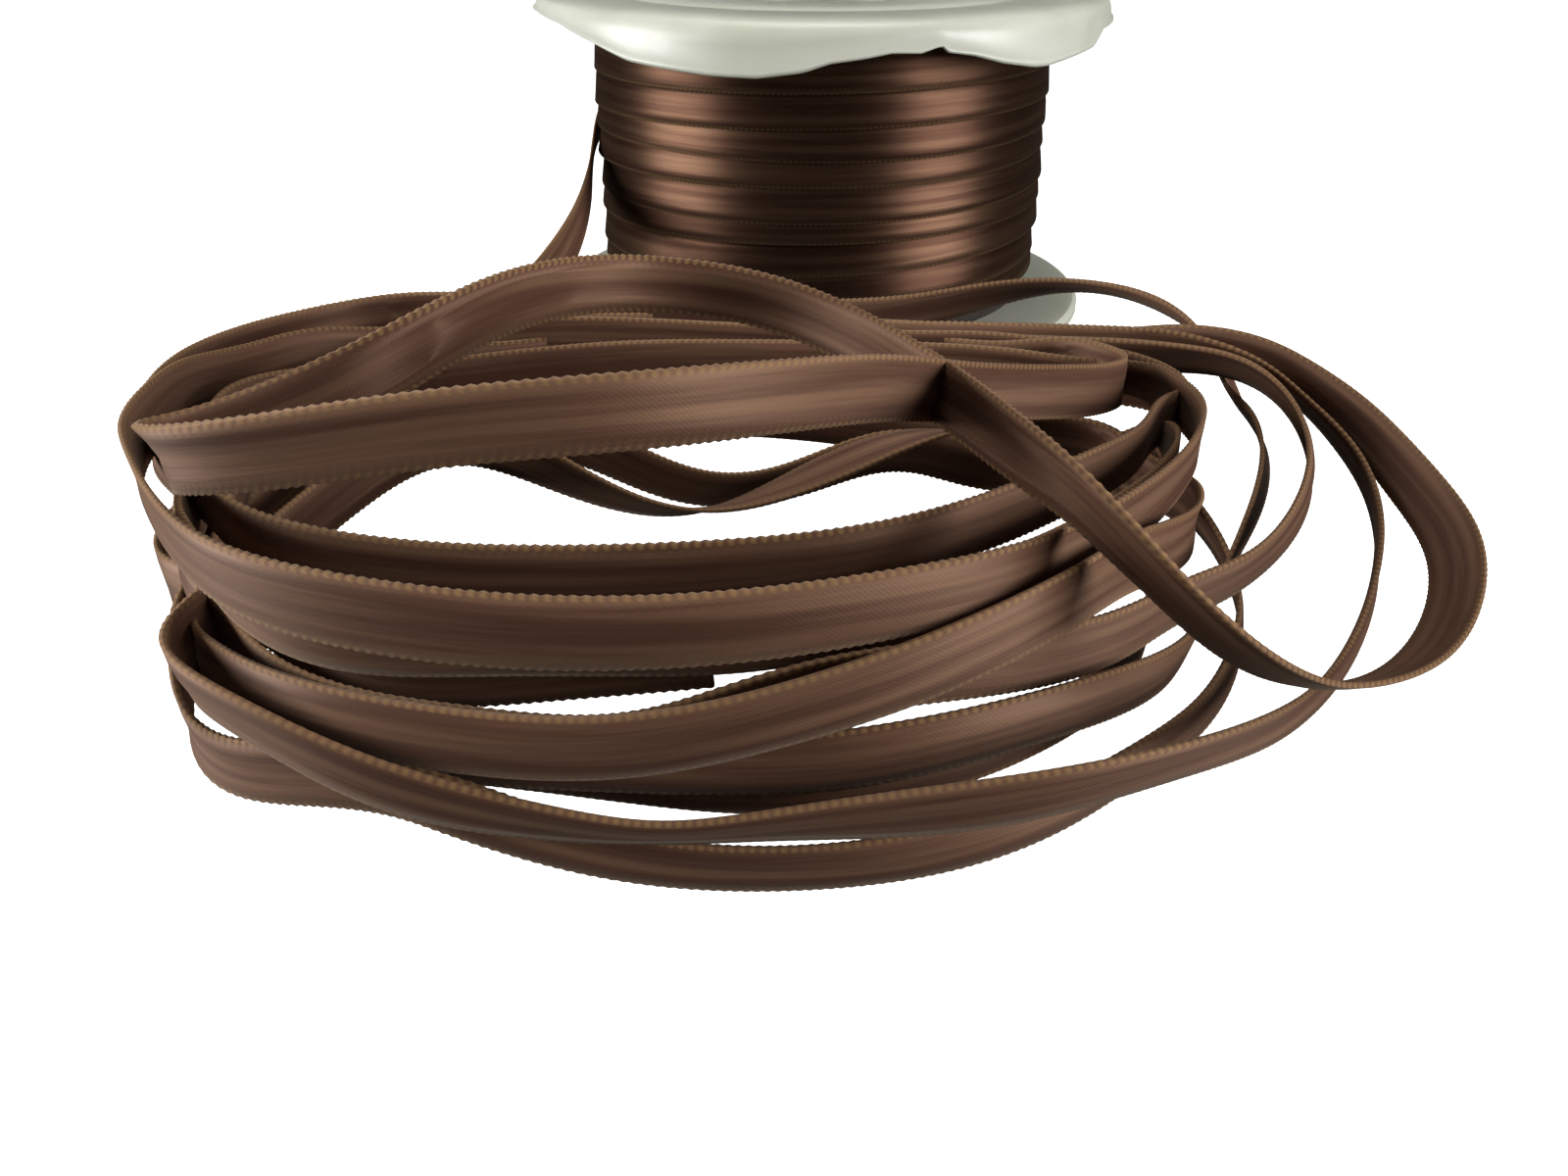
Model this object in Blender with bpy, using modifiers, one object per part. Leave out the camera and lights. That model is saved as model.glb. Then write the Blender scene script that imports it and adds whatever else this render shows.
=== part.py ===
"""Narrow satin ribbon on a small plastic spool, with a length drawn off into a loose coil in front."""
import math

import bmesh
import bpy
from mathutils import Vector

MM = 0.001

# Spool, turned about the Z axis, standing on its lower flange.
FLANGE_RADIUS = 26.0
BASE_THICKNESS = 1.4
CAP_TOP = 28.4
CAP_THICKNESS = 1.3
CAP_RIM_BOTTOM = 24.8
CAP_RIM_WAVE = 0.5
CAP_RIM_WAVES = [(3, 0.6, 0.6), (8, 0.4, 0.0)]
CAP_RIM_TOLERANCE = 0.05
HUB_RADIUS = 11.0
HUB_BORE = 8.5
HUB_RING_WIDTH = 1.0
HUB_RING_SLOPE = 0.6
HUB_RING_DEPTH = 0.5
FLANGE_EDGE = 0.4
GAP = 0.3
TURN_STEPS = 96

# The cap's shoulder outside and inside: how far in from the flange's radius, how far below the top.
CAP_SHOULDER = [(2.4, 0.0), (0.9, 0.5), (0.1, 1.7)]
CAP_LIP_WIDTH = 1.0
CAP_INSIDE = (1.3, 2.2)
CAP_CEILING = 2.6

# Wound ribbon: rows of one ribbon width, each a little lower at its edges.
ROLL_RADIUS = 21.0
ROLL_ROWS = 8
ROW_DEPTH = 0.35
ROW_SWELLS = 0.2
ROW_NARROWS = 0.85

# The ribbon itself, as a plain solid strip.
RIBBON_WIDTH = 3.0
RIBBON_THICKNESS = 1.0
STRIP_STEP = 4.0

# The loose coil: an oval ring of stacked turns, open in the middle.
COIL_CENTRE = (-8.5, -66.5)
COIL_REACH = (27.5, 22.0)
COIL_WALL = 6.0
COIL_BOTTOM = 0.2
COIL_TOP = 14.5
COIL_ROWS = 5
COIL_ROW_DEPTH = 0.5
COIL_ROW_EDGE = 0.3
COIL_ROW_SWELLS = 0.25
COIL_ROW_NARROWS = 0.8
COIL_TOP_SLOPE = (0.6, 0.8, 1.2)
COIL_FOOT_SLOPE = (0.6, 1.0)
COIL_STEPS = 72
RIM_SCALE = 0.01
SMOOTH_UNDER = 40.0
WELD = 0.002

# Routes of the ribbon outside the coil, in mm: along X, along Y, height, and lean of its width
# from upright in degrees.
LEAD = [
    (-21.6, -3.0, 14.2, 0), (-21.9, -10.0, 13.5, 0), (-22.3, -18.0, 11.8, 0), (-23.5, -28.0, 10.6, 0),
    (-25.5, -37.0, 10.4, 0), (-24.0, -43.2, 10.4, 0), (-19.5, -45.1, 10.4, 0),
]
ARCH = [
    (4.0, -45.7, 11.0, 0), (12.0, -45.5, 11.5, 20), (19.0, -46.0, 12.0, 35), (26.5, -49.0, 12.0, 25),
    (31.0, -55.5, 10.5, 8), (33.0, -63.0, 8.5, 0), (32.5, -70.0, 7.0, 15), (28.5, -76.0, 6.2, 50),
    (23.5, -80.5, 7.5, 65), (18.8, -82.5, 10.5, 55), (15.2, -81.8, 14.2, 35), (11.5, -78.5, 17.6, 22),
    (5.0, -70.5, 19.9, 9), (-1.5, -63.5, 19.9, 0), (-6.5, -61.8, 19.8, -5), (-11.5, -63.5, 20.3, -7),
    (-16.5, -69.5, 21.3, -4), (-22.0, -74.0, 20.5, 4), (-28.0, -73.5, 19.5, 0), (-31.3, -76.5, 19.3, 0),
    (-30.0, -81.0, 19.8, 0), (-25.0, -84.3, 20.5, 0), (-15.0, -85.5, 21.3, 0), (-5.0, -83.0, 21.0, 0),
    (2.5, -77.5, 18.3, 0), (7.0, -72.0, 15.9, 0), (11.0, -66.5, 15.9, 0), (13.7, -61.0, 16.3, 0),
    (13.0, -55.5, 16.4, 0), (8.5, -52.0, 16.4, 0), (1.0, -49.7, 16.4, 0), (-8.0, -48.5, 16.4, 0),
]
LOOP_WIDE = [
    (-0.5, -88.5, 6.0, -5), (7.5, -86.8, 7.0, -3), (15.0, -84.0, 6.3, -8), (22.0, -77.0, 4.6, -29),
    (27.5, -69.5, 4.6, -36), (30.0, -61.5, 6.2, -31), (28.0, -54.5, 8.8, -29), (21.0, -50.5, 9.2, -15),
    (13.5, -49.2, 9.4, 0), (8.5, -48.1, 9.5, 0),
]
LOOP_MIDDLE = [
    (18.5, -73.0, 8.4, 0), (23.2, -67.0, 8.6, -22), (26.0, -60.0, 9.0, -40), (22.8, -54.4, 9.0, -31),
    (18.5, -53.8, 8.6, -6), (15.6, -54.2, 8.2, 0),
]
LOOP_BACK = [
    (18.5, -73.8, 4.8, -30), (20.8, -68.0, 4.9, -57), (23.5, -60.5, 5.0, -60), (24.8, -52.5, 5.4, -59),
    (23.5, -44.0, 7.5, -60), (18.5, -36.5, 9.5, -56), (10.5, -33.5, 9.5, -28), (2.0, -34.0, 9.0, -6),
    (-7.0, -35.5, 8.0, 0), (-15.5, -37.5, 6.2, 0), (-24.0, -41.5, 5.5, 0), (-29.0, -46.5, 5.8, 0),
    (-31.5, -51.8, 6.0, 0),
]
LOOP_LOW = [
    (9.5, -84.5, 2.0, -5), (14.0, -81.5, 2.0, -10), (18.3, -76.5, 1.9, -23), (21.0, -70.0, 1.9, -42),
    (21.8, -62.5, 2.2, -21), (19.0, -56.5, 2.8, 0), (15.3, -54.4, 3.2, 0),
]
INNER_WAVE = [
    (6.0, -56.3, 7.6, 10), (0.5, -55.0, 5.5, 35), (-7.5, -56.0, 3.2, 25), (-15.5, -56.2, 4.6, 0),
    (-22.5, -58.5, 8.0, 0), (-27.3, -62.6, 9.4, 0),
]

RIBBON_BROWN = (0.075, 0.040, 0.026, 1.0)
SPOOL_WHITE = (0.72, 0.74, 0.70, 1.0)


def clear_scene():
    for obj in list(bpy.data.objects):
        bpy.data.objects.remove(obj, do_unlink=True)


def make_collection(name):
    collection = bpy.data.collections.new(name)
    bpy.context.scene.collection.children.link(collection)
    return collection


def make_material(name, colour, roughness, metallic=0.0):
    material = bpy.data.materials.new(name)
    material.use_nodes = True
    shader = material.node_tree.nodes["Principled BSDF"]
    shader.inputs["Base Color"].default_value = colour
    shader.inputs["Roughness"].default_value = roughness
    shader.inputs["Metallic"].default_value = metallic
    material.diffuse_color = colour
    return material


def add_object(name, data, collection, material):
    obj = bpy.data.objects.new(name, data)
    collection.objects.link(obj)
    if data.materials:
        data.materials.clear()
    data.materials.append(material)
    return obj


def turned(name, profile, collection, material, steps=TURN_STEPS):
    """A closed solid turned about Z from (radius, height) points in mm, as a mesh object."""
    mesh = bpy.data.meshes.new(name + "_profile")
    shape = bmesh.new()
    rim = [shape.verts.new((r * MM, 0.0, z * MM)) for r, z in profile]
    for first, second in zip(rim, rim[1:] + rim[:1]):
        shape.edges.new((first, second))
    shape.to_mesh(mesh)
    shape.free()
    obj = add_object(name, mesh, collection, material)
    screw = obj.modifiers.new("Screw", "SCREW")
    screw.steps = steps
    screw.render_steps = steps
    screw.use_merge_vertices = True
    screw.merge_threshold = WELD * MM
    screw.use_normal_calculate = True
    return obj


def fix_to_mesh(obj):
    """Swap an object's modifiers or curve for the mesh that they make, welded and facing out."""
    evaluated = obj.evaluated_get(bpy.context.evaluated_depsgraph_get())
    mesh = bpy.data.meshes.new_from_object(evaluated)
    shape = bmesh.new()
    shape.from_mesh(mesh)
    bmesh.ops.remove_doubles(shape, verts=shape.verts, dist=WELD * MM)
    bmesh.ops.recalc_face_normals(shape, faces=shape.faces)
    shape.to_mesh(mesh)
    shape.free()
    name, collection = obj.name, obj.users_collection[0]
    material = obj.data.materials[0]
    bpy.data.objects.remove(obj, do_unlink=True)
    fresh = add_object(name, mesh, collection, material)
    fresh.name = name
    mesh.shade_smooth()
    mesh.set_sharp_from_angle(angle=math.radians(SMOOTH_UNDER))
    return fresh


def smooth_route(route, step):
    """Points every step mm along a Catmull-Rom curve through the route's own points."""
    rows = [Vector(row) for row in route]
    rows = [rows[0] * 2 - rows[1]] + rows + [rows[-1] * 2 - rows[-2]]
    fine = []
    for before, here, after, beyond in zip(rows, rows[1:], rows[2:], rows[3:]):
        count = max(2, round((after - here).to_3d().length / (step / 6)))
        for index in range(count):
            t = index / count
            fine.append(
                0.5 * (2 * here + (after - before) * t
                       + (2 * before - 5 * here + 4 * after - beyond) * t ** 2
                       + (3 * here - before - 3 * after + beyond) * t ** 3))
    fine.append(rows[-2])
    walked = [0.0]
    for first, second in zip(fine, fine[1:]):
        walked.append(walked[-1] + (second - first).to_3d().length)
    count = max(3, round(walked[-1] / step))
    points, place = [], 0
    for index in range(count + 1):
        goal = walked[-1] * index / count
        while place < len(fine) - 2 and walked[place + 1] < goal:
            place += 1
        share = (goal - walked[place]) / (walked[place + 1] - walked[place])
        points.append(fine[place].lerp(fine[place + 1], min(1.0, share)))
    return points


def strip(name, route, collection, material):
    """A flat strip, one ribbon wide and on its edge, swept along a route with its lean as tilt."""
    half = RIBBON_WIDTH / 2
    thick = RIBBON_THICKNESS / 2
    outline = bpy.data.curves.new(name + "_outline", "CURVE")
    outline.dimensions = "2D"
    section = outline.splines.new("POLY")
    corners = [(-thick, -half), (thick, -half), (thick, half), (-thick, half)]
    section.points.add(len(corners) - 1)
    for point, (across, up) in zip(section.points, corners):
        point.co = (across * MM, up * MM, 0.0, 1.0)
    section.use_cyclic_u = True
    guide = bpy.data.objects.new(name + "_outline", outline)
    curve = bpy.data.curves.new(name, "CURVE")
    curve.dimensions = "3D"
    curve.twist_mode = "Z_UP"
    curve.bevel_mode = "OBJECT"
    curve.bevel_object = guide
    curve.use_fill_caps = True
    points = smooth_route(route, STRIP_STEP)
    spline = curve.splines.new("POLY")
    spline.points.add(len(points) - 1)
    for point, row in zip(spline.points, points):
        point.co = (row[0] * MM, row[1] * MM, row[2] * MM, 1.0)
        point.tilt = math.radians(row[3])
    obj = fix_to_mesh(add_object(name, curve, collection, material))
    bpy.data.objects.remove(guide, do_unlink=True)
    return obj


def spool_base(collection, material):
    """Lower flange and hollow hub, turned in one piece."""
    top = CAP_TOP - CAP_THICKNESS - GAP
    profile = [
        (HUB_BORE, 0.0), (HUB_BORE, top), (HUB_RADIUS, top), (HUB_RADIUS, BASE_THICKNESS),
        (FLANGE_RADIUS - FLANGE_EDGE, BASE_THICKNESS), (FLANGE_RADIUS, BASE_THICKNESS - FLANGE_EDGE),
        (FLANGE_RADIUS, FLANGE_EDGE), (FLANGE_RADIUS - FLANGE_EDGE, 0.0),
    ]
    return fix_to_mesh(turned("spool_base", profile, collection, material))


def spool_cap(collection, material):
    """Upper flange: a disc whose rim turns down, with an uneven lower edge."""
    under = CAP_TOP - CAP_THICKNESS
    ring = CAP_TOP - HUB_RING_DEPTH
    ring_edge = HUB_RADIUS + HUB_RING_WIDTH
    profile = [(HUB_BORE, under), (HUB_BORE, ring), (ring_edge, ring), (ring_edge + HUB_RING_SLOPE, CAP_TOP)]
    profile += [(FLANGE_RADIUS - inset, CAP_TOP - drop) for inset, drop in CAP_SHOULDER]
    profile += [
        (FLANGE_RADIUS, CAP_RIM_BOTTOM), (FLANGE_RADIUS - CAP_LIP_WIDTH, CAP_RIM_BOTTOM),
        (FLANGE_RADIUS - CAP_INSIDE[0], CAP_TOP - CAP_INSIDE[1]), (FLANGE_RADIUS - CAP_CEILING, under),
    ]
    cap = fix_to_mesh(turned("spool_cap", profile, collection, material))
    for vertex in cap.data.vertices:
        if abs(vertex.co.z - CAP_RIM_BOTTOM * MM) < CAP_RIM_TOLERANCE * MM:
            angle = math.atan2(vertex.co.y, vertex.co.x)
            wave = sum(share * math.sin(count * angle + phase) for count, share, phase in CAP_RIM_WAVES)
            vertex.co.z += CAP_RIM_WAVE * wave * MM
    return cap


def ribbon_roll(collection, material):
    """The ribbon still on the spool: one turned body with a low ridge for each row."""
    low = BASE_THICKNESS + GAP
    high = CAP_RIM_BOTTOM - CAP_RIM_WAVE - GAP
    pitch = (high - low) / ROLL_ROWS
    inner = HUB_RADIUS + GAP
    outer = []
    for row in range(ROLL_ROWS):
        base = low + row * pitch
        outer += [
            (ROLL_RADIUS - ROW_DEPTH, base), (ROLL_RADIUS, base + ROW_SWELLS * pitch),
            (ROLL_RADIUS, base + ROW_NARROWS * pitch),
        ]
    outer.append((ROLL_RADIUS - ROW_DEPTH, high))
    profile = [(inner, low), (inner, high)] + outer[::-1]
    return fix_to_mesh(turned("ribbon_roll", profile, collection, material))


def coil_profile():
    """Section of the coil's wall: stacked rows on its outer side, a plain inner side."""
    half = COIL_WALL / 2
    pitch = (COIL_TOP - COIL_BOTTOM) / COIL_ROWS
    outer = []
    for row in range(COIL_ROWS):
        base = COIL_BOTTOM + row * pitch
        face = half - (COIL_ROW_DEPTH if row % 2 else 0.0)
        outer += [(face - COIL_ROW_EDGE, base), (face, base + COIL_ROW_SWELLS * pitch),
                  (face, base + COIL_ROW_NARROWS * pitch)]
    outward, inward, drop = COIL_TOP_SLOPE
    foot, rise = COIL_FOOT_SLOPE
    outer.append((half - outward, COIL_TOP))
    return outer + [(inward - half, COIL_TOP), (-half, COIL_TOP - drop), (-half, COIL_BOTTOM + rise),
                    (foot - half, COIL_BOTTOM)]


def ribbon_coil(collection, material):
    """The loose coil as one oval ring: its section carried round an ellipse by spinning and scaling."""
    reach_x = COIL_REACH[0] - COIL_WALL / 2
    reach_y = COIL_REACH[1] - COIL_WALL / 2
    shape = bmesh.new()
    rim = [shape.verts.new((1.0 + along * RIM_SCALE, 0.0, z)) for along, z in coil_profile()]
    edges = [shape.edges.new(pair) for pair in zip(rim, rim[1:] + rim[:1])]
    bmesh.ops.spin(shape, geom=rim + edges, cent=(0, 0, 0), axis=(0, 0, 1), angle=math.tau,
                   steps=COIL_STEPS, use_merge=True, use_duplicate=False)
    bmesh.ops.remove_doubles(shape, verts=shape.verts, dist=WELD * RIM_SCALE)
    for vertex in shape.verts:
        angle = math.atan2(vertex.co.y, vertex.co.x)
        along = (math.hypot(vertex.co.x, vertex.co.y) - 1.0) / RIM_SCALE
        vertex.co.x = (COIL_CENTRE[0] + (reach_x + along) * math.cos(angle)) * MM
        vertex.co.y = (COIL_CENTRE[1] + (reach_y + along) * math.sin(angle)) * MM
        vertex.co.z *= MM
    bmesh.ops.recalc_face_normals(shape, faces=shape.faces)
    mesh = bpy.data.meshes.new("ribbon_coil")
    shape.to_mesh(mesh)
    shape.free()
    mesh.shade_smooth()
    mesh.set_sharp_from_angle(angle=math.radians(SMOOTH_UNDER))
    return add_object("ribbon_coil", mesh, collection, material)


def main():
    clear_scene()
    parts = make_collection("satin_ribbon_on_a_spool")
    satin = make_material("brown_satin", RIBBON_BROWN, 0.42)
    plastic = make_material("white_plastic", SPOOL_WHITE, 0.35)
    spool_base(parts, plastic)
    spool_cap(parts, plastic)
    ribbon_roll(parts, satin)
    ribbon_coil(parts, satin)
    strip("ribbon_lead", LEAD, parts, satin)
    strip("ribbon_arch", ARCH, parts, satin)
    strip("ribbon_loop_wide", LOOP_WIDE, parts, satin)
    strip("ribbon_loop_middle", LOOP_MIDDLE, parts, satin)
    strip("ribbon_loop_back", LOOP_BACK, parts, satin)
    strip("ribbon_loop_low", LOOP_LOW, parts, satin)
    strip("ribbon_inner_wave", INNER_WAVE, parts, satin)


main()
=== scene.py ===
# %% [markdown]
# A narrow satin ribbon on a small spool.
# The spool stands upright, and about 1.8 metres of its ribbon have been drawn off and dropped in a
# loose oval coil in front of it. The solid model gives the spool, the wound body and the room that
# the loose coil takes. This scene adds what the eye looks for: one unbroken ribbon with its creases
# and looped edges, the shingled rows on the spool and the moulded plastic of its flanges.

import math

import bmesh
import bpy
import numpy as np
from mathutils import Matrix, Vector


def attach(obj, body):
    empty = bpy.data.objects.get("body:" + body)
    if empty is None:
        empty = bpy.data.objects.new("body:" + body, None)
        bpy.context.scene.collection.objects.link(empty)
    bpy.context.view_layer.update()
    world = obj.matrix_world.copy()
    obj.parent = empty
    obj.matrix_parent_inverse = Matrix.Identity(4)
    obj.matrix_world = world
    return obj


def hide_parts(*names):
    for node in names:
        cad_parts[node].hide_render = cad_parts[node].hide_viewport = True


MM = 0.001
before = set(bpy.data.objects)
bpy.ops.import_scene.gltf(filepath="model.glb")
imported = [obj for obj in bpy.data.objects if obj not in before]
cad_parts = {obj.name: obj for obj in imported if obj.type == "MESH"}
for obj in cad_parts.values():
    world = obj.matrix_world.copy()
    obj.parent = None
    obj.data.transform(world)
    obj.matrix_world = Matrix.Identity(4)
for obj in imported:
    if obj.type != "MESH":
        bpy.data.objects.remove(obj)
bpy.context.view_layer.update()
print("nodes:", sorted(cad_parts))

# %% [markdown]
# The camera comes first, because the loose ribbon is laid by what it sees. A thing this small is
# photographed from a hand's breadth away, so the lens is wide and the near turns look much larger
# than the far ones. It could be aimed at a target, but a place in millimetres, one angle down and
# one lens are fewer numbers and are easier to correct one by one.

# %% Camera
CAMERA_PLACE = (-3.5, -124.0, 39.0)
CAMERA_DOWN = 31.0
PICTURE = (1600, 1200)
PIXELS_PER_UNIT = 1250.0
SENSOR = 36.0
NEAREST_SEEN = 0.001
FARTHEST_SEEN = 5.0

camera_data = bpy.data.cameras.new("studio_camera")
camera_data.sensor_width = SENSOR
camera_data.lens = SENSOR * PIXELS_PER_UNIT / PICTURE[0]
camera_data.clip_start = NEAREST_SEEN
camera_data.clip_end = FARTHEST_SEEN
camera = bpy.data.objects.new("studio_camera", camera_data)
camera.location = Vector(CAMERA_PLACE) * MM
camera.rotation_euler = (math.radians(90.0 - CAMERA_DOWN), 0.0, 0.0)
bpy.context.scene.collection.objects.link(camera)
bpy.context.scene.camera = camera
print("lens in mm:", round(camera_data.lens, 2))

# %% [markdown]
# Each station of the ribbon's route is written as the place in the picture where its middle shows,
# the distance along Y at which it lies, and the lean of its width from upright. A station could be
# three plain coordinates, but a loose coil is a tangle, and it is far easier to follow one strand
# in the picture and then say how deep it lies. This helper turns such a row into a point.

# %% From the picture to the table
EYE = np.array(CAMERA_PLACE)
DOWN = math.radians(CAMERA_DOWN)
AHEAD = np.array([0.0, math.cos(DOWN), -math.sin(DOWN)])
RIGHT = np.array([1.0, 0.0, 0.0])
ABOVE = np.cross(RIGHT, AHEAD)


def station_place(across, down, back):
    """The point in mm that shows at a place of the picture and lies at that distance along Y."""
    sight = AHEAD + (across - PICTURE[0] / 2) / PIXELS_PER_UNIT * RIGHT
    sight = sight - (down - PICTURE[1] / 2) / PIXELS_PER_UNIT * ABOVE
    return EYE + sight * (back - EYE[1]) / sight[1]


print("a point of the roll's left side in mm:", np.round(station_place(607, 182, -9), 1))

# %% [markdown]
# The drawn-off ribbon is one length, so its route is one list that is read from the spool to the cut
# end. It is split where a turn ends, which keeps each part short enough to check against the
# picture. A ribbon lies on its edge in a loose coil, so most leans are near nought, and it turns
# flat only where a loop swings round. The first part starts behind the roll, under the cap, comes
# round its left side and leaves it. It then runs along the back of the coil and swings out in the
# widest loop on the right.

# %% Route: from the roll round the widest loop
LEAD = [
    (833, 4, 21.7, 0), (763, 13, 20.4, 0), (699, 41, 16.6, 0), (648, 78, 10.6, -4),
    (613, 121, 3, -8), (605, 151, -3, -12), (603, 182, -9, -10), (592, 225, -17, 8),
    (569, 268, -25, 24), (538, 303, -32, 20), (508, 325, -37, 10), (520, 338, -41, 0),
]
ALONG_BACK = [
    (590, 333, -43, 0), (700, 338, -44, 0), (850, 345, -44.5, 0), (1000, 354, -45, 0),
    (1130, 362, -46, 0), (1210, 358, -47, 0),
]
WIDEST_LOOP = [
    (1298, 385, -50, -5), (1373, 432, -55, 5), (1443, 499, -61, -34), (1488, 560, -67, -46),
    (1482, 628, -72, -54), (1447, 677, -76, -60), (1394, 700, -79, -57), (1341, 703, -80.5, -68),
    (1270, 674, -83, -66), (1213, 630, -83.5, -50), (1150, 574, -82.5, -22), (1070, 500, -79.5, 0),
    (980, 420, -73, 12), (890, 354, -66, 5), (780, 305, -62, 0), (650, 288, -62, -10),
    (540, 300, -68, -10), (450, 340, -73.5, 0), (380, 385, -76.5, 10), (320, 412, -77.5, 8),
]
print("stations:", len(LEAD + ALONG_BACK + WIDEST_LOOP))

# %% [markdown]
# The next turns are the high ones. The first passes right under the camera, where it looks broad and
# pale, and each one after it lies a little lower, resting on the turns before.

# %% Route: the upper turns
HIGH_TURN = [
    (260, 440, -78, 5), (186, 468, -79, 15), (138, 478, -80.5, 32), (148, 480, -83, 28),
    (222, 474, -84.5, 8), (370, 448, -85, 0), (500, 432, -85, 0), (650, 420, -84, 0),
    (800, 405, -80, 0), (900, 397, -75, 5), (1000, 400, -68, 10), (1080, 402, -62.5, 0),
    (1125, 402, -58, 0), (1150, 392, -54, 0), (1130, 381, -51.5, 0), (1060, 374, -50, 0),
    (950, 364, -48, 0), (800, 352, -47, 0), (650, 330, -46, 0), (540, 322, -45, 0),
    (450, 318, -44, 0),
]
UPPER_TURN = [
    (380, 326, -45, 0), (300, 342, -49, 0), (235, 362, -55, 0), (179, 394, -62, 0),
    (154, 450, -69, 0), (184, 509, -75, 5), (225, 545, -78, 5), (300, 570, -80, 0),
    (420, 587, -81, 0), (570, 590, -81.5, 0), (720, 585, -81, 0), (860, 572, -80, 0),
    (960, 548, -77.5, 0), (1040, 520, -74, 0), (1112, 487, -70, 0), (1175, 458, -64, 0),
    (1205, 428, -58, 0), (1192, 397, -53, 0), (1140, 378, -50.5, 0), (1050, 368, -49, 0),
    (900, 360, -48, 0), (750, 352, -48, 0), (620, 348, -49, 0), (520, 352, -50, 0),
    (430, 362, -51, 0),
]
FRONT_TURN = [
    (350, 376, -53, 0), (280, 382, -57, 0), (222, 390, -61, 0), (180, 405, -66, 0),
    (145, 446, -71, 0), (153, 502, -77, 0), (196, 549, -82, 0), (250, 592, -85, 0),
    (350, 622, -87, 0), (470, 641, -88, 0), (600, 648, -88.5, 0), (750, 641, -88, 0),
    (890, 622, -86.5, 0), (1000, 597, -84.5, 0), (1080, 568, -81, 0), (1148, 532, -76, 0),
    (1198, 492, -70, 0), (1222, 455, -63.5, 0), (1210, 415, -57, 0), (1160, 390, -53, 0),
    (1080, 376, -51, 0), (950, 372, -50.5, 0), (800, 370, -50.5, 0), (650, 370, -51, 0),
    (520, 380, -52.5, 0), (400, 392, -55, 0),
]
SECOND_FRONT_TURN = [
    (300, 405, -60, 0), (220, 425, -65, 0), (202, 480, -70, 0), (194, 535, -76, 0),
    (204, 590, -81, 0), (225, 625, -84, 0), (290, 655, -85.5, 0), (380, 664, -86, 0),
    (500, 655, -86, 0), (650, 655, -86, 0), (800, 656, -85.5, 0), (930, 628, -83.5, 0),
    (1040, 590, -80.5, 0), (1124, 545, -76, 0), (1186, 502, -70, 0), (1206, 465, -64, 0),
    (1175, 455, -58, 0),
]
print("stations:", len(HIGH_TURN + UPPER_TURN + FRONT_TURN + SECOND_FRONT_TURN))

# %% [markdown]
# Two strands hang into the opening of the coil in slack waves, one behind the other. They are what
# makes the heap look dropped and not wound. The outer one leans over until it lies flat and a little
# beyond, and then comes nearly upright again.

# %% Route: the slack waves and the turns between them
INNER_WAVE = [
    (1110, 478, -54, 0), (1062, 486, -53.5, 0), (1022, 481, -53, 0), (985, 466, -53, 5),
    (950, 454, -53, 5), (905, 452, -53.5, 0), (850, 474, -54, -5), (800, 496, -54, -18),
    (760, 502, -54, -32), (720, 503, -54, -24), (690, 496, -54, -14), (648, 477, -54, -8),
    (600, 452, -54, -5), (550, 438, -54.5, -5), (480, 436, -55, -8), (420, 458, -57, -25),
    (370, 500, -61, -36), (332, 540, -65, -36),
]
MIDDLE_TURN = [
    (280, 560, -69, 0), (235, 590, -73, 0), (208, 630, -78, 0), (222, 675, -82, 0),
    (270, 710, -85, 0), (350, 742, -87, 0), (460, 763, -88, 0), (600, 769, -88.5, 0),
    (720, 752, -88.5, 0), (840, 718, -87.5, 0), (950, 680, -86, 0), (1050, 638, -83.5, 0),
    (1132, 600, -79, 0), (1195, 562, -73, 0), (1216, 522, -67, 0), (1194, 450, -60, 0),
]
OUTER_WAVE = [
    (1130, 433, -56, 0), (1050, 436, -56, -30), (985, 434, -56.5, -65), (930, 444, -57, -95),
    (885, 460, -57, -110), (845, 478, -57.5, -112), (787, 504, -57.5, -96), (740, 521, -57.5, -74),
    (700, 526, -57.5, -56), (665, 522, -57.5, -38), (624, 509, -57, -22), (576, 488, -57, -12),
    (530, 464, -57, -8), (470, 442, -58, -5), (412, 458, -60, 12), (350, 498, -64, 10),
    (294, 538, -68, 4),
]
LOWEST_TURN = [
    (240, 582, -73, 0), (216, 624, -77.5, 6), (213, 656, -81, 14), (228, 692, -83, 20),
    (280, 731, -85.5, 8), (350, 777, -87, 0), (450, 812, -87.5, 12), (560, 837, -87.5, 32),
    (670, 853, -87, 47), (780, 842, -87, 32), (900, 833, -87, 18), (1020, 820, -87, 5),
    (1120, 800, -86, 10), (1210, 775, -84, 16),
]
print("stations:", len(INNER_WAVE + MIDDLE_TURN + OUTER_WAVE + LOWEST_TURN))

# %% [markdown]
# On the right, four loops stand out from the coil, each a different size. Seen nearly along their
# length they look as thin as wire where they stand upright, and broad where they lean.

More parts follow.
